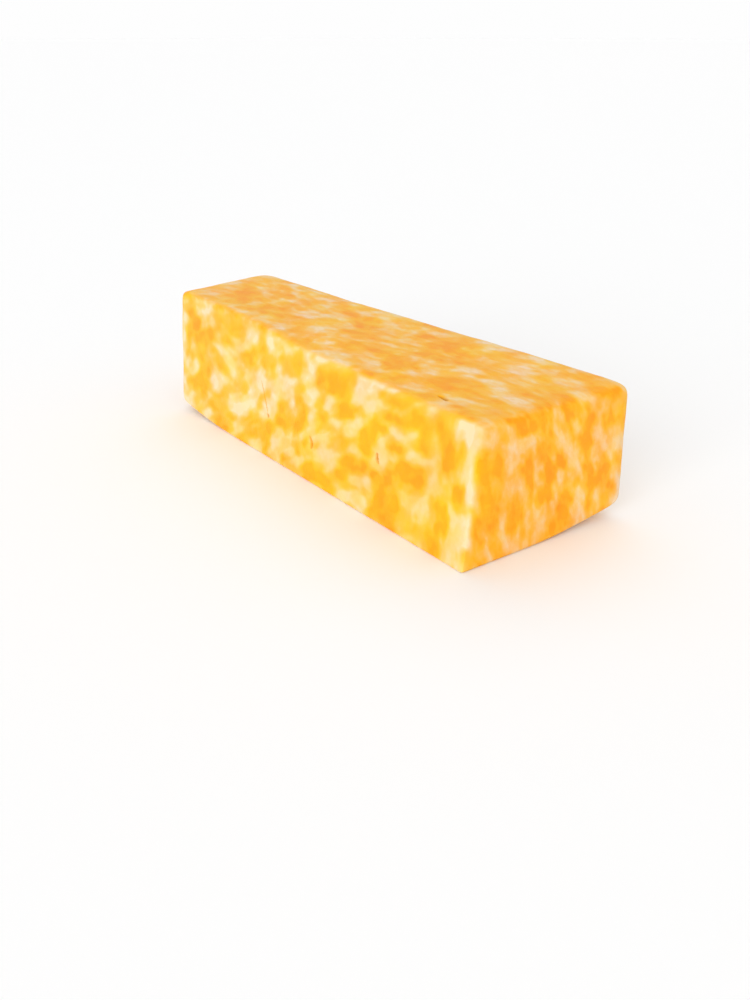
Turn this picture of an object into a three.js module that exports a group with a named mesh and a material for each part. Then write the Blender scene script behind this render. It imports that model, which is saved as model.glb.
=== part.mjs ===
// A retail bar of marbled cheese, cut by wire from a larger pressed block and lying on its base.
// Millimetres, +Z up, +X towards the wide end, +Y towards the back. The origin is on the resting
// plane, under the middle of the bar.
import * as THREE from "three";

// The bar is a brick cut a little out of square: the back is longer than the front, and one end is
// narrower and taller than the other. Sizes are taken corner to corner, before edges are rounded.
const FRONT_LENGTH = 168;
const BACK_LENGTH = 178;
const NARROW_END = { width: 43.5, height: 47.5 };
const WIDE_END = { width: 58.5, height: 45 };

// The cut at the wide end wasn't quite upright: its base is this much further in than its top.
const WIDE_END_LEAN = { front: 2.4, back: 2 };

// Under its own weight the soft cheese stands wider at the foot, on each long side.
const FOOT_SPREAD = 2.6;

// The underside curls up off the table at the narrow end, and along the back more and more towards
// the wide end: how far it rises at the edge, and how far in from the edge the curl starts. Between
// them the base is flat.
const NARROW_CURL = { rise: 4, run: 33 };
const BACK_CURL = { rise: 4.4, runAtNarrowEnd: 15, runAtWideEnd: 31 };
const CURL_POWER = 1.3;

// How far each corner's rounding reaches along X, Y and Z. The long front edge of the base is the
// crispest, the way the wire left it, and the far upright corner has been rubbed the roundest.
const ROUNDING = {
  narrow: {
    front: { base: [4, 1.2, 1.2], top: [4, 3.5, 3.5] },
    back: { base: [7, 6, 4], top: [9, 9, 4] },
  },
  wide: {
    front: { base: [2, 1.2, 1.2], top: [4.5, 2.5, 3.5] },
    back: { base: [3, 4, 3.5], top: [4.5, 4, 4] },
  },
};

// Facets round each edge, and along the straight part of each side.
const EDGE_FACETS = 4;
const SIDE_FACETS = { x: 16, y: 8, z: 6 };

const ENDS = ["narrow", "wide"];
const SIDES = ["front", "back"];
const LEVELS = ["base", "top"];

// One corner of the brick: where its sharp point would be, how far its rounding reaches, and the
// point inside the bar that the rounding turns about.
function makeCorner(end, side, level) {
  const outward = new THREE.Vector3(
    end === "wide" ? 1 : -1,
    side === "back" ? 1 : -1,
    level === "top" ? 1 : -1,
  );
  const endSize = end === "wide" ? WIDE_END : NARROW_END;
  const length = side === "back" ? BACK_LENGTH : FRONT_LENGTH;
  const spread = level === "base" ? FOOT_SPREAD : 0;
  const lean = end === "wide" && level === "base" ? WIDE_END_LEAN[side] : 0;
  const point = new THREE.Vector3(
    (outward.x * length) / 2 - lean,
    outward.y * (endSize.width / 2 + spread),
    level === "top" ? endSize.height : 0,
  );
  const rounding = new THREE.Vector3(...ROUNDING[end][side][level]);
  const centre = point.clone().sub(outward.multiply(rounding));
  return { rounding, centre };
}

const corners = ENDS.map((end) =>
  SIDES.map((side) => LEVELS.map((level) => makeCorner(end, side, level))),
);

// A corner value (rounding or centre) at a share of the way along each axis.
function between(value, share) {
  const alongZ = (pair) => pair[0][value].clone().lerp(pair[1][value], share.z);
  const alongY = (end) => alongZ(end[0]).lerp(alongZ(end[1]), share.y);
  return alongY(corners[0]).lerp(alongY(corners[1]), share.x);
}

// One grid line of the box on one axis: turn is how far round the edge it lies (-1 or 1 on an outer
// face, 0 on the straight part), and share is its place along the straight part.
function gridLine(position, sideFacets) {
  const index = Math.round((position + 0.5) * (sideFacets + 2 * EDGE_FACETS));
  const beforeSide = Math.max(0, EDGE_FACETS - index);
  const afterSide = Math.max(0, index - EDGE_FACETS - sideFacets);
  const angle = ((afterSide - beforeSide) / EDGE_FACETS) * (Math.PI / 4);
  return {
    turn: Math.tan(angle),
    share: THREE.MathUtils.clamp((index - EDGE_FACETS) / sideFacets, 0, 1),
  };
}

// How far the underside has curled up at a place on the base.
function curlHeight(x, y) {
  const curl = (distance, rise, run) => rise * Math.max(0, 1 - distance / run) ** CURL_POWER;
  const fromNarrowEnd = x + BACK_LENGTH / 2;
  const fromBack = WIDE_END.width / 2 + FOOT_SPREAD - y;
  const shareAlong = THREE.MathUtils.clamp(fromNarrowEnd / BACK_LENGTH, 0, 1);
  const backRun = THREE.MathUtils.lerp(
    BACK_CURL.runAtNarrowEnd,
    BACK_CURL.runAtWideEnd,
    shareAlong,
  );
  return (
    curl(fromNarrowEnd, NARROW_CURL.rise, NARROW_CURL.run) +
    curl(fromBack, BACK_CURL.rise, backRun)
  );
}

function barGeometry() {
  const geometry = new THREE.BoxGeometry(
    1,
    1,
    1,
    SIDE_FACETS.x + 2 * EDGE_FACETS,
    SIDE_FACETS.y + 2 * EDGE_FACETS,
    SIDE_FACETS.z + 2 * EDGE_FACETS,
  );
  const position = geometry.attributes.position;
  for (let i = 0; i < position.count; i += 1) {
    const x = gridLine(position.getX(i), SIDE_FACETS.x);
    const y = gridLine(position.getY(i), SIDE_FACETS.y);
    const z = gridLine(position.getZ(i), SIDE_FACETS.z);
    const share = new THREE.Vector3(x.share, y.share, z.share);
    const direction = new THREE.Vector3(x.turn, y.turn, z.turn).normalize();
    const point = between("centre", share).add(direction.multiply(between("rounding", share)));
    // The curl fades out towards the top, which stays level.
    const fade = 1 - point.z / WIDE_END.height;
    point.z += curlHeight(point.x, point.y) * Math.max(0, fade);
    position.setXYZ(i, point.x, point.y, point.z);
  }
  geometry.computeBoundingBox();
  const middle = geometry.boundingBox.getCenter(new THREE.Vector3());
  geometry.translate(-middle.x, -middle.y, 0);
  geometry.computeVertexNormals();
  return geometry;
}

const cheese = new THREE.MeshStandardMaterial({ color: 0xf2b84b, roughness: 0.5, metalness: 0 });

const cheeseBar = new THREE.Mesh(barGeometry(), cheese);
cheeseBar.name = "cheese_bar";

const part = new THREE.Group();
part.add(cheeseBar);

export default part;
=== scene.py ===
import math

import bmesh
import bpy
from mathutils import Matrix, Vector


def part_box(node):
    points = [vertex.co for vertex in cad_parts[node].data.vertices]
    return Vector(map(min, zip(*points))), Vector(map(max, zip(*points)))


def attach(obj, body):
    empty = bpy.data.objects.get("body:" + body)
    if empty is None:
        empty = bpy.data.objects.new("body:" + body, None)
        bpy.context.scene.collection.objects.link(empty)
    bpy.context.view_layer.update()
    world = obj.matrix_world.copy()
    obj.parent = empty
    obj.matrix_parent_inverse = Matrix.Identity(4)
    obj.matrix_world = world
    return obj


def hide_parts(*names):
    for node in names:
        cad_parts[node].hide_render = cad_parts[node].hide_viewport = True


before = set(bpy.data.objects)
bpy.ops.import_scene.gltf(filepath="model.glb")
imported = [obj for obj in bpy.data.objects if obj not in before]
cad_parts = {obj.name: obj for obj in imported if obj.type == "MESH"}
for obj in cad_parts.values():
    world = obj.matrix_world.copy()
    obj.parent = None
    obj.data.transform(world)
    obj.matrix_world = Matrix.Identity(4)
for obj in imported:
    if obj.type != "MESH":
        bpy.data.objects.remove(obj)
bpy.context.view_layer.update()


# The bar: one solid of curds in two colours, pressed until they knit, then cut by wire from a
# larger block. It is a brick a little out of square, wider at one end, and stands on its base.
MM = 0.001
LENGTH_FRONT = 168
WIDTH_NARROW_END = 48.7
TOP_SHARE_NARROW_END = 43.5 / WIDTH_NARROW_END
TOP_SHARE_WIDE_END = 58.5 / 63.7
WIDE_END_DROP = 2.5
WIDE_END_LEAN_FRONT = 2.4
WIDE_END_LEAN_BACK = 2.0

low, high = (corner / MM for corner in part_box("cheese_bar"))
length, width, height = high - low

bpy.ops.object.select_all(action="DESELECT")
bpy.ops.mesh.primitive_cube_add(
    size=MM, location=(low + high) / 2 * MM, scale=(length, width, height)
)
bar = bpy.context.object
bar.name = "marbled_cheese_bar"
bpy.ops.object.transform_apply(location=True, rotation=True, scale=True)
bpy.ops.object.mode_set(mode="EDIT")
bpy.ops.mesh.select_mode(type="VERT")


def pick(test):
    """Selects the bar's points whose place in millimetres passes the test."""
    mesh = bmesh.from_edit_mesh(bar.data)
    for point in mesh.verts:
        point.select = test(*(point.co / MM))
    mesh.select_flush(True)
    bmesh.update_edit_mesh(bar.data)


def narrow(share, test):
    """Scales the picked points across the bar, about its middle."""
    pick(test)
    bpy.ops.transform.resize(value=(1, share, 1), center_override=(0, 0, 0))


def shift(move, test):
    """Moves the picked points by millimetres."""
    pick(test)
    bpy.ops.transform.translate(value=Vector(move) * MM)


mid_height = height / 2
narrow(WIDTH_NARROW_END / width, lambda x, y, z: x < 0)
narrow(TOP_SHARE_NARROW_END, lambda x, y, z: x < 0 and z > mid_height)
narrow(TOP_SHARE_WIDE_END, lambda x, y, z: x > 0 and z > mid_height)
pick(lambda x, y, z: y < 0)
bpy.ops.transform.resize(value=(LENGTH_FRONT / length, 1, 1), center_override=(0, 0, 0))
shift((0, 0, -WIDE_END_DROP), lambda x, y, z: x > 0 and z > mid_height)
shift((-WIDE_END_LEAN_FRONT, 0, 0), lambda x, y, z: x > 0 and y < 0 and z < mid_height)
shift((-WIDE_END_LEAN_BACK, 0, 0), lambda x, y, z: x > 0 and y > 0 and z < mid_height)

# Its edges are soft. A cut close to an edge keeps it crisp and one further in lets it round, so
# these slanting cuts set how each edge rounds: crispest along the foot of the long front face,
# roundest at the far upright corner of the narrow end. The rest only space the mesh evenly.
EDGE_CUTS = (
    ((79.4, -32, 0), (76, -29, 45), (80.5, 29, 45)),
    ((-77, -24, 0), (-76, -22, 47), (-76, 22, 47)),
    ((84, -30.6, 0), (84, -25.6, 45), (-84, -18.4, 47)),
    ((89, 26, 0), (89, 23, 45), (-89, 9, 47)),
    ((89, -30, 41.8), (89, 30, 38.6), (-89, 0, 40.4)),
    ((89, -32, 1.2), (89, 32, 6), (-89, -32, 3.4)),
)
CUTS_ALONG = (-61, -45, -29, -13, 3, 19, 35, 51, 66)
CUTS_ACROSS = ((-10.5, -12.5), (-4, 0), (3, 12))
CUTS_UP = (14, 28)


def cut_through(a, b, c):
    """Slices the bar's faces along the plane through three points, in millimetres."""
    a, b, c = (Vector(point) for point in (a, b, c))
    bpy.ops.mesh.select_all(action="SELECT")
    bpy.ops.mesh.bisect(plane_co=a * MM, plane_no=(b - a).cross(c - a).normalized())


for points in EDGE_CUTS:
    cut_through(*points)
for x in CUTS_ALONG:
    cut_through((x, -30, 0), (x, 30, 0), (x, 0, 45))
for at_narrow_end, at_wide_end in CUTS_ACROSS:
    cut_through((-89, at_narrow_end, 0), (89, at_wide_end, 0), (89, at_wide_end, 45))
for z in CUTS_UP:
    cut_through((-89, 0, z), (89, -30, z), (89, 30, z))

# The underside curls up off the table at the narrow end, and along the back more and more towards
# the wide end. The front ridge of the top wanders where the wire wandered: how far each dip drops,
# and its middle and its reach along the bar.
NARROW_CURL = (4.0, 33)
BACK_RISE = 4.4
BACK_RUN_NARROW_END = 15
BACK_RUN_WIDE_END = 31
CURL_POWER = 1.3
RIDGE_LEVEL = 44
RIDGE_BACK = -20
RIDGE_DIPS = ((1.4, 5, 15), (1.0, 52, 11), (-0.6, -38, 20))


def curl(distance, rise, run):
    return rise * max(0, 1 - distance / run) ** CURL_POWER


mesh = bmesh.from_edit_mesh(bar.data)
for point in mesh.verts:
    x, y, z = point.co / MM
    share_along = (x - low.x) / length
    back_run = BACK_RUN_NARROW_END + (BACK_RUN_WIDE_END - BACK_RUN_NARROW_END) * share_along
    rise = curl(x - low.x, *NARROW_CURL) + curl(high.y - y, BACK_RISE, back_run)
    point.co.z += rise * max(0, 1 - z / height) * MM
    if z > RIDGE_LEVEL and y < RIDGE_BACK:
        dip = sum(depth * math.exp(-(((x - at) / reach) ** 2)) for depth, at, reach in RIDGE_DIPS)
        point.co += Vector((0, -0.5 * dip, -dip)) * MM
bmesh.update_edit_mesh(bar.data)
bpy.ops.object.mode_set(mode="OBJECT")


def finish_with(kind, name, **settings):
    """Adds a modifier to the bar, sets it and applies it."""
    modifier = bar.modifiers.new(name, kind)
    for key, value in settings.items():
        setattr(modifier, key, value)
    bpy.ops.object.modifier_apply(modifier=name)


finish_with("SUBSURF", "round_the_edges", levels=4, render_levels=4)

# No cut face is quite flat: the wire left broad waves, and the curds a fine relief with faint
# creases where they knit. None of it reaches the base, which the table has pressed flat.
FADE_HEIGHT = 6
ABOVE_BASE = "above_base"
above_base = bar.vertex_groups.new(name=ABOVE_BASE)
for point in bar.data.vertices:
    share = min(1, max(0, point.co.z / MM / FADE_HEIGHT))
    above_base.add([point.index], share, "REPLACE")


def relief(name, kind, size, depth, **settings):
    """Pushes the surface in and out by a cloudy or cellular pattern, sizes in millimetres."""
    pattern = bpy.data.textures.new(name, kind)
    pattern.noise_scale = size * MM
    for key, value in settings.items():
        setattr(pattern, key, value)
    finish_with("DISPLACE", name, texture=pattern, strength=depth * MM, vertex_group=ABOVE_BASE)


relief("wire_waves", "CLOUDS", 38, 1.0)
relief("curd_relief", "CLOUDS", 5, 0.16)
relief("knit_creases", "VORONOI", 7, 0.12, weight_1=-1.0, weight_2=1.0)

# Small openings where curds didn't knit, and a few hairline cracks. Each is given by the face it is
# on, its middle, the way it runs, its reach each way along, half its width, its depth and its bend.
INWARD = {
    "front": (0, 1, 0),
    "back": (0, -1, 0),
    "top": (0, 0, -1),
    "narrow end": (1, 0, 0),
}
OPENINGS = (
    ("front", (-22.9, -26, 22), (4.4, 0, -12), 6.4, 0.3, 0.4, 0.4),
    ("front", (-20.6, -26.4, 16), (1, 0, -2), 0.9, 0.7, 1.6, 0),
    ("front", (5.5, -27.7, 14.6), (0.6, 0, -4), 2.3, 0.75, 2.0, 0.8),
    ("front", (41.4, -28.8, 21.3), (0.8, 0, -3), 1.8, 0.75, 2.0, -0.6),
    ("top", (61.8, -22.1, 45), (4, -1.1, 0), 2.6, 0.8, 1.8, 0.3),
    ("back", (-43, 21, 27), (3, 0, -2), 2.0, 0.6, 1.1, 0.4),
    ("back", (14, 26, 13), (1, 0, -3), 1.5, 0.6, 1.0, -0.3),
    ("back", (51, 28, 31), (2, 0, 1), 1.0, 0.5, 1.0, 0),
    ("back", (48, 28, 27), (4, 0, 9), 4.6, 0.3, 0.25, 0.4),
    ("narrow end", (-86, 7, 19), (0, 1, -3), 1.6, 0.55, 1.0, 0.3),
)
LIP = 1.0
FACING_OUT = -0.7
FACING_OUT_ROUGHLY = -0.5


def openness(point, inward, centre, run, reach, half_width, bend):
    """How open an opening is at a point: 1 on its middle line, and 0 at its lips and beyond."""
    run = Vector(run).normalized()
    from_centre = point / MM - Vector(centre)
    along = from_centre.dot(run) / reach
    across = from_centre.dot(run.cross(inward)) - bend * (1 - along**2)
    return max(0, 1 - along**2 - (across / half_width) ** 2)


def faces_of(openings, lip):
    """A test of whether a face, by its middle and normal, is within a lip's width of an opening."""
    tests = [
        (Vector(INWARD[side]), centre, run, reach + lip, half_width + lip, bend)
        for side, centre, run, reach, half_width, depth, bend in openings
    ]

    def test(face):
        middle = face.calc_center_median()
        return any(
            face.normal.dot(inward) < FACING_OUT and openness(middle, inward, *rest) > 0
            for inward, *rest in tests
        )

    return test


bpy.ops.object.mode_set(mode="EDIT")
bpy.ops.mesh.select_all(action="DESELECT")
bpy.ops.mesh.select_mode(type="FACE")
mesh = bmesh.from_edit_mesh(bar.data)
near_opening = faces_of(OPENINGS, LIP)
for face in mesh.faces:
    if near_opening(face):
        face.select_set(True)
bmesh.update_edit_mesh(bar.data)
bpy.ops.mesh.subdivide(number_cuts=3)

# Each point keeps how far inside an opening it is, for the painted shade that darkens the cheese
# there.
PAINTED_HOLLOW_SHADE = "painted_hollow_shade"
mesh = bmesh.from_edit_mesh(bar.data)
painted_hollow_shade = mesh.verts.layers.float.new(PAINTED_HOLLOW_SHADE)
for point in mesh.verts:
    if not point.select:
        continue
    for side, centre, run, reach, half_width, depth, bend in OPENINGS:
        inward = Vector(INWARD[side])
        if point.normal.dot(inward) < FACING_OUT_ROUGHLY:
            open_here = openness(point.co, inward, centre, run, reach, half_width, bend)
            inside = math.sqrt(open_here)
            point[painted_hollow_shade] = max(point[painted_hollow_shade], inside)
            point.co += inward * depth * inside * MM
bmesh.update_edit_mesh(bar.data)

# The finished bar is trued to its full size, still standing on its base.
bpy.ops.object.mode_set(mode="OBJECT")
places = [point.co / MM for point in bar.data.vertices]
made_low = Vector(map(min, zip(*places)))
made_high = Vector(map(max, zip(*places)))
stretch = Vector(full / made for full, made in zip(high - low, made_high - made_low))
bpy.ops.transform.resize(value=stretch, center_override=(0, 0, 0))
bpy.ops.transform.translate(value=(low - made_low * stretch) * MM)
bpy.ops.object.transform_apply(location=True, rotation=True, scale=True)
bpy.ops.object.shade_smooth()

# The finish: orange and cream curds with soft borders. The long cut faces show them as rounded
# patches; pressing has drawn them out into streaks on the top, base and ends. The surface is
# waxy and slightly see-through, with a fine grain. Pattern scales are in features per millimetre.
WHEY = (0.88, 0.625, 0.36, 1)
MILK = (0.865, 0.585, 0.285, 1)
CREAM = (0.875, 0.57, 0.245, 1)
PALE = (0.885, 0.545, 0.175, 1)
BUFF = (0.905, 0.51, 0.115, 1)
YELLOW = (0.92, 0.47, 0.05, 1)
AMBER = (0.93, 0.43, 0.008, 1)
ORANGE = (0.93, 0.36, 0.0, 1)
DRIFT_SCALE = 0.025
DRIFT_REACH = 12
CURD_SCALE = 0.104
CRUMB_SCALE = 0.19
CURD_SHARE = 0.73
CRUMB_SHARE = 0.22
LEAST_ORANGE = 0.05


def add_node(tree, kind, inputs=(), **settings):
    """A new shader node, with its settings and its inputs' values or links."""
    node = tree.nodes.new("ShaderNode" + kind)
    for key, value in settings.items():
        setattr(node, key, value)
    for key, value in dict(inputs).items():
        if isinstance(value, bpy.types.NodeSocket):
            tree.links.new(value, node.inputs[key])
        else:
            node.inputs[key].default_value = value
    return node


def math_node(tree, operation, *values):
    return add_node(tree, "Math", dict(enumerate(values)), operation=operation).outputs[0]


def build_curd_group():
    """Knitted curds as one value, from 0 in the palest to 1 in the most orange."""
    tree = bpy.data.node_groups.new("knitted_curds", "ShaderNodeTree")
    face = tree.interface
    face.new_socket("Place", in_out="INPUT", socket_type="NodeSocketVector")
    face.new_socket("Softness", in_out="INPUT", socket_type="NodeSocketFloat")
    face.new_socket("Seed", in_out="INPUT", socket_type="NodeSocketFloat")
    face.new_socket("Orange", in_out="OUTPUT", socket_type="NodeSocketFloat")
    given = tree.nodes.new("NodeGroupInput").outputs
    made = tree.nodes.new("NodeGroupOutput").inputs

    drift = add_node(
        tree, "TexNoise", {"Vector": given["Place"], "Scale": DRIFT_SCALE, "Detail": 0.0}
    ).outputs["Color"]
    push = add_node(tree, "VectorMath", {0: drift, 1: (0.5, 0.5, 0.5)}, operation="SUBTRACT")
    drifted = add_node(
        tree,
        "VectorMath",
        {0: push.outputs[0], 1: (DRIFT_REACH, DRIFT_REACH, DRIFT_REACH), 2: given["Place"]},
        operation="MULTIPLY_ADD",
    ).outputs[0]

    def curds(scale, detail, seed_offset):
        seed = math_node(tree, "ADD", given["Seed"], seed_offset)
        return add_node(
            tree,
            "TexNoise",
            {"Vector": drifted, "W": seed, "Scale": scale, "Detail": detail},
            noise_dimensions="4D",
        ).outputs["Fac"]

    whole_curds = add_node(
        tree,
        "MapRange",
        {
            "Value": curds(CURD_SCALE, detail=1.6, seed_offset=0.0),
            "From Min": math_node(tree, "SUBTRACT", 0.5, given["Softness"]),
            "From Max": math_node(tree, "ADD", 0.5, given["Softness"]),
        },
        interpolation_type="SMOOTHSTEP",
    ).outputs[0]
    crumbs = add_node(
        tree,
        "MapRange",
        {
            "Value": curds(CRUMB_SCALE, detail=0.5, seed_offset=7.0),
            "From Min": 0.38,
            "From Max": 0.62,
        },
        interpolation_type="SMOOTHSTEP",
    ).outputs[0]
    orange = math_node(tree, "MULTIPLY_ADD", whole_curds, CURD_SHARE, LEAST_ORANGE)
    orange = math_node(tree, "MULTIPLY_ADD", crumbs, CRUMB_SHARE, orange)
    tree.links.new(orange, made["Orange"])
    return tree


curd_group = build_curd_group()
cheese = bpy.data.materials.new("marbled_cheese")
cheese.use_nodes = True
tree = cheese.node_tree
skin = tree.nodes["Principled BSDF"]
coordinates = add_node(tree, "TexCoord")

millimetres = add_node(
    tree, "Mapping", {"Vector": coordinates.outputs["Object"], "Scale": (1000, 1000, 1000)}
).outputs[0]
place = add_node(tree, "SeparateXYZ", {0: millimetres}).outputs


def smooth_step(value, start, end):
    return add_node(
        tree,
        "MapRange",
        {"Value": value, "From Min": start, "From Max": end},
        interpolation_type="SMOOTHSTEP",
    ).outputs[0]


def blend(factor, a, b):
    """A mix of two numbers, which are inputs 2 and 3 of the node. Inputs 6 and 7 are for colours."""
    return add_node(tree, "Mix", {"Factor": factor, 2: a, 3: b}, data_type="FLOAT").outputs[0]


def curds_at(place_socket, softness, seed):
    inputs = {"Place": place_socket, "Softness": softness, "Seed": seed}
    return add_node(tree, "Group", inputs, node_tree=curd_group).outputs["Orange"]


# On the long cut faces the patches lean up towards the wide end, and stand upright beside it.
LEAN_OF_PATCHES = math.radians(30)
CUT_SOFTNESS = 0.115
turned = add_node(
    tree, "Mapping", {"Vector": millimetres, "Rotation": (0, LEAN_OF_PATCHES, 0)}
).outputs[0]
leaning = add_node(tree, "Mapping", {"Vector": turned, "Scale": (0.84, 1, 1.24)}).outputs[0]
upright = add_node(tree, "Mapping", {"Vector": millimetres, "Scale": (1.3, 1, 0.75)}).outputs[0]
by_wide_end = smooth_step(place["X"], 60.0, 72.0)
cut_curds = blend(
    by_wide_end,
    curds_at(leaning, CUT_SOFTNESS, seed=49.3),
    curds_at(upright, CUT_SOFTNESS, seed=0.0),
)

# On the top and base they are streaks along the bar, which turn over the edge and down each end.
# The stretches below say how many patches fit along each way in the space of one.
TOP_LEVEL = 46.0
STRETCH_ALONG = 1.05
STRETCH_ACROSS = 1.7
STRETCH_DEEP = 0.15
STRETCH_DOWN_END = 0.96
SLANT_DOWN_END = -0.5
end_side = add_node(
    tree, "MapRange", {"Value": place["X"], "From Min": -40.0, "From Max": 40.0, "To Min": -1.0}
).outputs[0]
below_top = math_node(tree, "SUBTRACT", TOP_LEVEL, place["Z"])


def add_scaled(value, amount, total):
    return math_node(tree, "MULTIPLY_ADD", value, amount, total)


down_end = math_node(tree, "MULTIPLY", below_top, end_side)
down_end = math_node(tree, "MULTIPLY", down_end, STRETCH_DOWN_END)
across = math_node(tree, "MULTIPLY", place["Y"], STRETCH_ACROSS)
streaked = add_node(
    tree,
    "CombineXYZ",
    {
        "X": add_scaled(place["X"], STRETCH_ALONG, down_end),
        "Y": add_scaled(below_top, SLANT_DOWN_END, across),
        "Z": math_node(tree, "MULTIPLY", place["Z"], STRETCH_DEEP),
    },
).outputs[0]


def depth_inside(axis, half_size, taper_axis, taper):
    """How far in from the faces that look both ways along an axis, allowing for the taper."""
    half_here = add_scaled(place[taper_axis], taper, half_size)
    return math_node(tree, "SUBTRACT", half_here, math_node(tree, "ABSOLUTE", place[axis]))


def nearer(depth, other_depth):
    """1 where the first depth is clearly the lesser of the two, with a soft change between."""
    difference = math_node(tree, "SUBTRACT", other_depth, depth)
    return smooth_step(difference, -EDGE_SOFTNESS, EDGE_SOFTNESS)


# The streaks' borders are smeared, more so on the top than on the ends.
HALF_WIDTH = 26.5
HALF_LENGTH = 86.0
SIDE_TAPER = 0.042
END_TAPER = 0.086
EDGE_SOFTNESS = 1.8
TOP_SOFTNESS = 0.165
END_SOFTNESS = 0.125
below_side = depth_inside("Y", HALF_WIDTH, "X", SIDE_TAPER)
below_end = depth_inside("X", HALF_LENGTH, "Y", END_TAPER)
on_end = nearer(below_end, below_top)
pressed_curds = curds_at(streaked, blend(on_end, TOP_SOFTNESS, END_SOFTNESS), seed=0.0)

# A long cut face is where its own depth is the least. The two sorts of curds meet along the edges.
from_edge = math_node(tree, "MINIMUM", below_top, below_end)
from_any_edge = math_node(tree, "MINIMUM", from_edge, place["Z"])
on_cut_face = nearer(below_side, from_any_edge)
orange_share = blend(on_cut_face, pressed_curds, cut_curds)


def noise(place_socket, scale, detail=0.0, **inputs):
    return add_node(
        tree,
        "TexNoise",
        {"Vector": place_socket, "Scale": scale, "Detail": detail, **inputs},
    ).outputs["Fac"]


# Some stretches of the bar got more orange curds than others. The long faces are paler along their
# top and end
# edges: partly pale curds, partly a painted highlight on the rounded edges. The pressed faces also
# have fine threads of both colours.
PALE_EDGE_AND_HIGHLIGHT = -0.3
RIM_WIDTH = 7.0
BATCHES = 0.5
FLECKS = 0.2
THREADS = 0.4
# The paler band along the edges is partly pale curds and partly a painted highlight.
pale_edge_and_highlight = math_node(tree, "MULTIPLY", smooth_step(from_edge, RIM_WIDTH, 0.0), on_cut_face)
orange_share = add_scaled(pale_edge_and_highlight, PALE_EDGE_AND_HIGHLIGHT, orange_share)
batch = math_node(tree, "SUBTRACT", noise(millimetres, 0.022), 0.5)
orange_share = add_scaled(batch, BATCHES, orange_share)
flecks = math_node(tree, "SUBTRACT", noise(millimetres, 0.5, detail=2.0), 0.5)
orange_share = add_scaled(flecks, FLECKS, orange_share)
threads = math_node(tree, "SUBTRACT", noise(streaked, 0.42, detail=2.0), 0.5)
threads_here = math_node(tree, "MULTIPLY", threads, math_node(tree, "SUBTRACT", 1.0, on_cut_face))
orange_share = add_scaled(threads_here, THREADS, orange_share)

# The palest stop, WHEY, shows mostly in the edge band, where it partly stands for a painted
# highlight.
tint = add_node(tree, "ValToRGB", {"Fac": orange_share})
stops = tint.color_ramp.elements
stops[0].position = 0.0
stops[0].color = WHEY
stops[1].position = 0.97
stops[1].color = ORANGE
for position, colour in (
    (0.06, MILK),
    (0.13, CREAM),
    (0.23, PALE),
    (0.35, BUFF),
    (0.50, YELLOW),
    (0.78, AMBER),
):
    stops.new(position).color = colour

# The dye isn't even: in places the colour leans to peach, in others to lemon.
lean = add_node(
    tree,
    "MapRange",
    {
        "Value": noise(millimetres, 0.09, detail=2.0),
        "From Min": 0.3,
        "From Max": 0.7,
        "To Min": 0.491,
        "To Max": 0.509,
    },
).outputs[0]
dyed = add_node(tree, "HueSaturation", {"Color": tint.outputs["Color"], "Hue": lean})

# Inside the openings the colour is darkened to brown: painted shade in the hollows, where little
# light reaches.
PAINTED_SHADE_BROWN = (0.74, 0.35, 0.02, 1)
FULL_SHADE_DEPTH = 0.7
inside_opening = add_node(tree, "Attribute", attribute_name=PAINTED_HOLLOW_SHADE).outputs["Fac"]
# The brown stands in for shade, not for a real change in the cheese.
shaded_colour = add_node(
    tree,
    "Mix",
    {
        "Factor": smooth_step(inside_opening, 0.0, FULL_SHADE_DEPTH),
        6: dyed.outputs["Color"],
        7: PAINTED_SHADE_BROWN,
    },
    data_type="RGBA",
).outputs[2]
tree.links.new(shaded_colour, skin.inputs["Base Color"])

# Fine grain all over, and fainter drag lines that run the way the streaks do.
grain = noise(millimetres, 1.6, detail=4.0, Roughness=0.6)
drag_lines = noise(streaked, 0.9, detail=3.0)
surface = add_scaled(drag_lines, 0.8, grain)
grain_bump = add_node(tree, "Bump", {"Height": surface, "Strength": 0.2, "Distance": 0.0004})
tree.links.new(grain_bump.outputs["Normal"], skin.inputs["Normal"])
waxy = add_node(tree, "MapRange", {"Value": grain, "To Min": 0.36, "To Max": 0.54})
tree.links.new(waxy.outputs[0], skin.inputs["Roughness"])
skin.inputs["IOR"].default_value = 1.45
skin.inputs["Specular IOR Level"].default_value = 0.25
skin.inputs["Subsurface Weight"].default_value = 0.35
skin.inputs["Subsurface Radius"].default_value = (1.0, 0.7, 0.35)
skin.inputs["Subsurface Scale"].default_value = 0.0013
bar.data.materials.append(cheese)

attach(bar, "root")
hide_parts("cheese_bar")


# The floor: a wide round sheet of matt white paper, which reaches far enough for its edge to look
# like the horizon.
FLOOR_RADIUS = 6.0
PAPER_WHITE = (0.97, 0.97, 0.97, 1)

bpy.ops.object.select_all(action="DESELECT")
bpy.ops.mesh.primitive_circle_add(vertices=96, radius=FLOOR_RADIUS, fill_type="NGON")
floor = bpy.context.object
floor.name = "floor"
paper = bpy.data.materials.new("white_paper")
paper.use_nodes = True
sheet = paper.node_tree.nodes["Principled BSDF"]
sheet.inputs["Base Color"].default_value = PAPER_WHITE
sheet.inputs["Roughness"].default_value = 0.9
floor.data.materials.append(paper)


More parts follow.
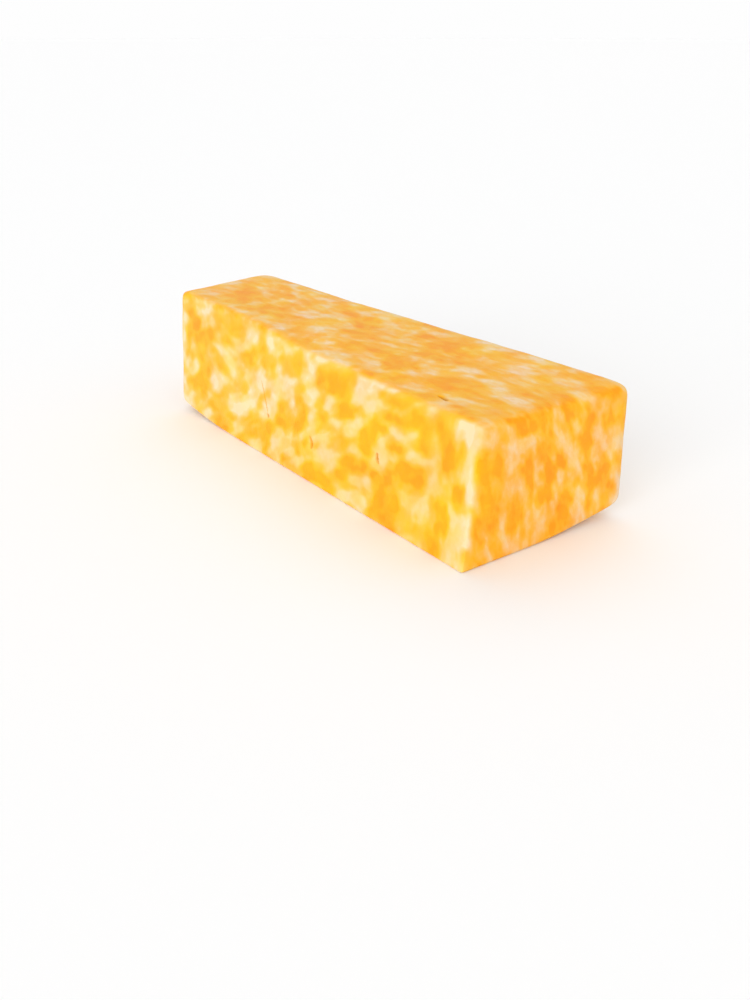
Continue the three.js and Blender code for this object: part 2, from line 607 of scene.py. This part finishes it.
# The light: a white tent all round, brightest at the level of the floor's edge so that the floor
# runs into it, a very large soft box low in front, which makes the long face the brightest, and
# another overhead.
HORIZON_LIGHT = 0.99
TENT_LIGHT = 0.775

world = bpy.data.worlds.new("white_tent")
bpy.context.scene.world = world
world.use_nodes = True
tent = world.node_tree
tent_cloth = tent.nodes["Background"]
tent_cloth.inputs["Color"].default_value = (1, 1, 1, 1)
towards = add_node(tent, "TexCoord").outputs["Generated"]
upward = add_node(tent, "SeparateXYZ", {0: towards}).outputs["Z"]
tent_light = add_node(
    tent,
    "MapRange",
    {
        "Value": math_node(tent, "ABSOLUTE", upward),
        "From Min": 0.03,
        "From Max": 0.13,
        "To Min": HORIZON_LIGHT,
        "To Max": TENT_LIGHT,
    },
).outputs[0]
tent.links.new(tent_light, tent_cloth.inputs["Strength"])


def soft_box(name, towards_box, strength, width_in_degrees):
    bpy.ops.object.light_add(type="SUN", location=Vector(towards_box))
    lamp = bpy.context.object
    lamp.name = name
    lamp.rotation_euler = Vector(towards_box).to_track_quat("Z", "Y").to_euler()
    lamp.data.angle = math.radians(width_in_degrees)
    lamp.data.energy = strength


soft_box("front_box", (0.38, -0.885, 0.26), 1.8, 45)
soft_box("top_box", (-0.35, 0.35, 0.87), 0.34, 50)


# The camera: a slightly wide lens close by, looking down on the front long face and the wide end.
VIEW_AZIMUTH = math.radians(50.0)
VIEW_ELEVATION = math.radians(26.1)
AIM = Vector((29.8, -20.0, 0)) * MM
DISTANCE = 326.1 * MM

towards_camera = Vector(
    (
        math.sin(VIEW_AZIMUTH) * math.cos(VIEW_ELEVATION),
        -math.cos(VIEW_AZIMUTH) * math.cos(VIEW_ELEVATION),
        math.sin(VIEW_ELEVATION),
    )
)
bpy.ops.object.camera_add(location=AIM + towards_camera * DISTANCE)
camera = bpy.context.object
camera.rotation_euler = (-towards_camera).to_track_quat("-Z", "Y").to_euler()
camera.data.lens = 36
camera.data.sensor_width = 36
camera.data.clip_start = 0.01
bpy.context.scene.camera = camera
bpy.context.scene.view_settings.view_transform = "Standard"
